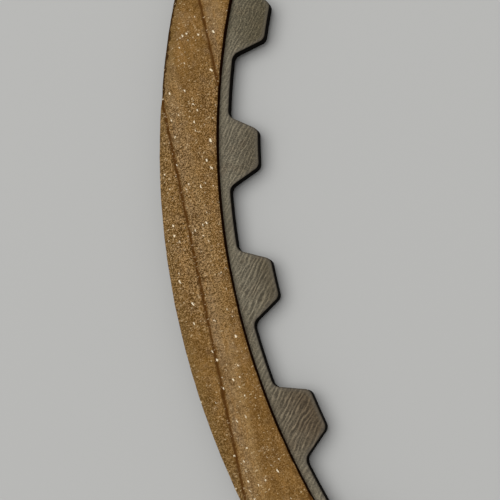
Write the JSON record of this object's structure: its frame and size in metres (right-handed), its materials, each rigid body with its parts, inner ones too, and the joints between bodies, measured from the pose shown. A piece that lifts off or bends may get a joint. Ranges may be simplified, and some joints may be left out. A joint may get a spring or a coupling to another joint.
{
  "type": "clutch friction plate",
  "caption": "Flat steel ring with spline teeth round its inside and a thin grooved paper friction lining bonded to each face, for a wet clutch pack.",
  "frame": {"origin": "on the ring's axis, at the face of the lower lining that the plate lies on", "axes": "+Z along the ring's axis, up through the plate; +X through the middle of a tooth; the lining grooves run along Y"},
  "size_m": [0.15, 0.15, 0.0023],
  "materials": {
    "core_steel": "satin",
    "friction_paper": "matte"
  },
  "bodies": {
    "root": {"core_plate": "core_steel", "upper_lining": "friction_paper", "lower_lining": "friction_paper"}
  },
  "joints": []
}
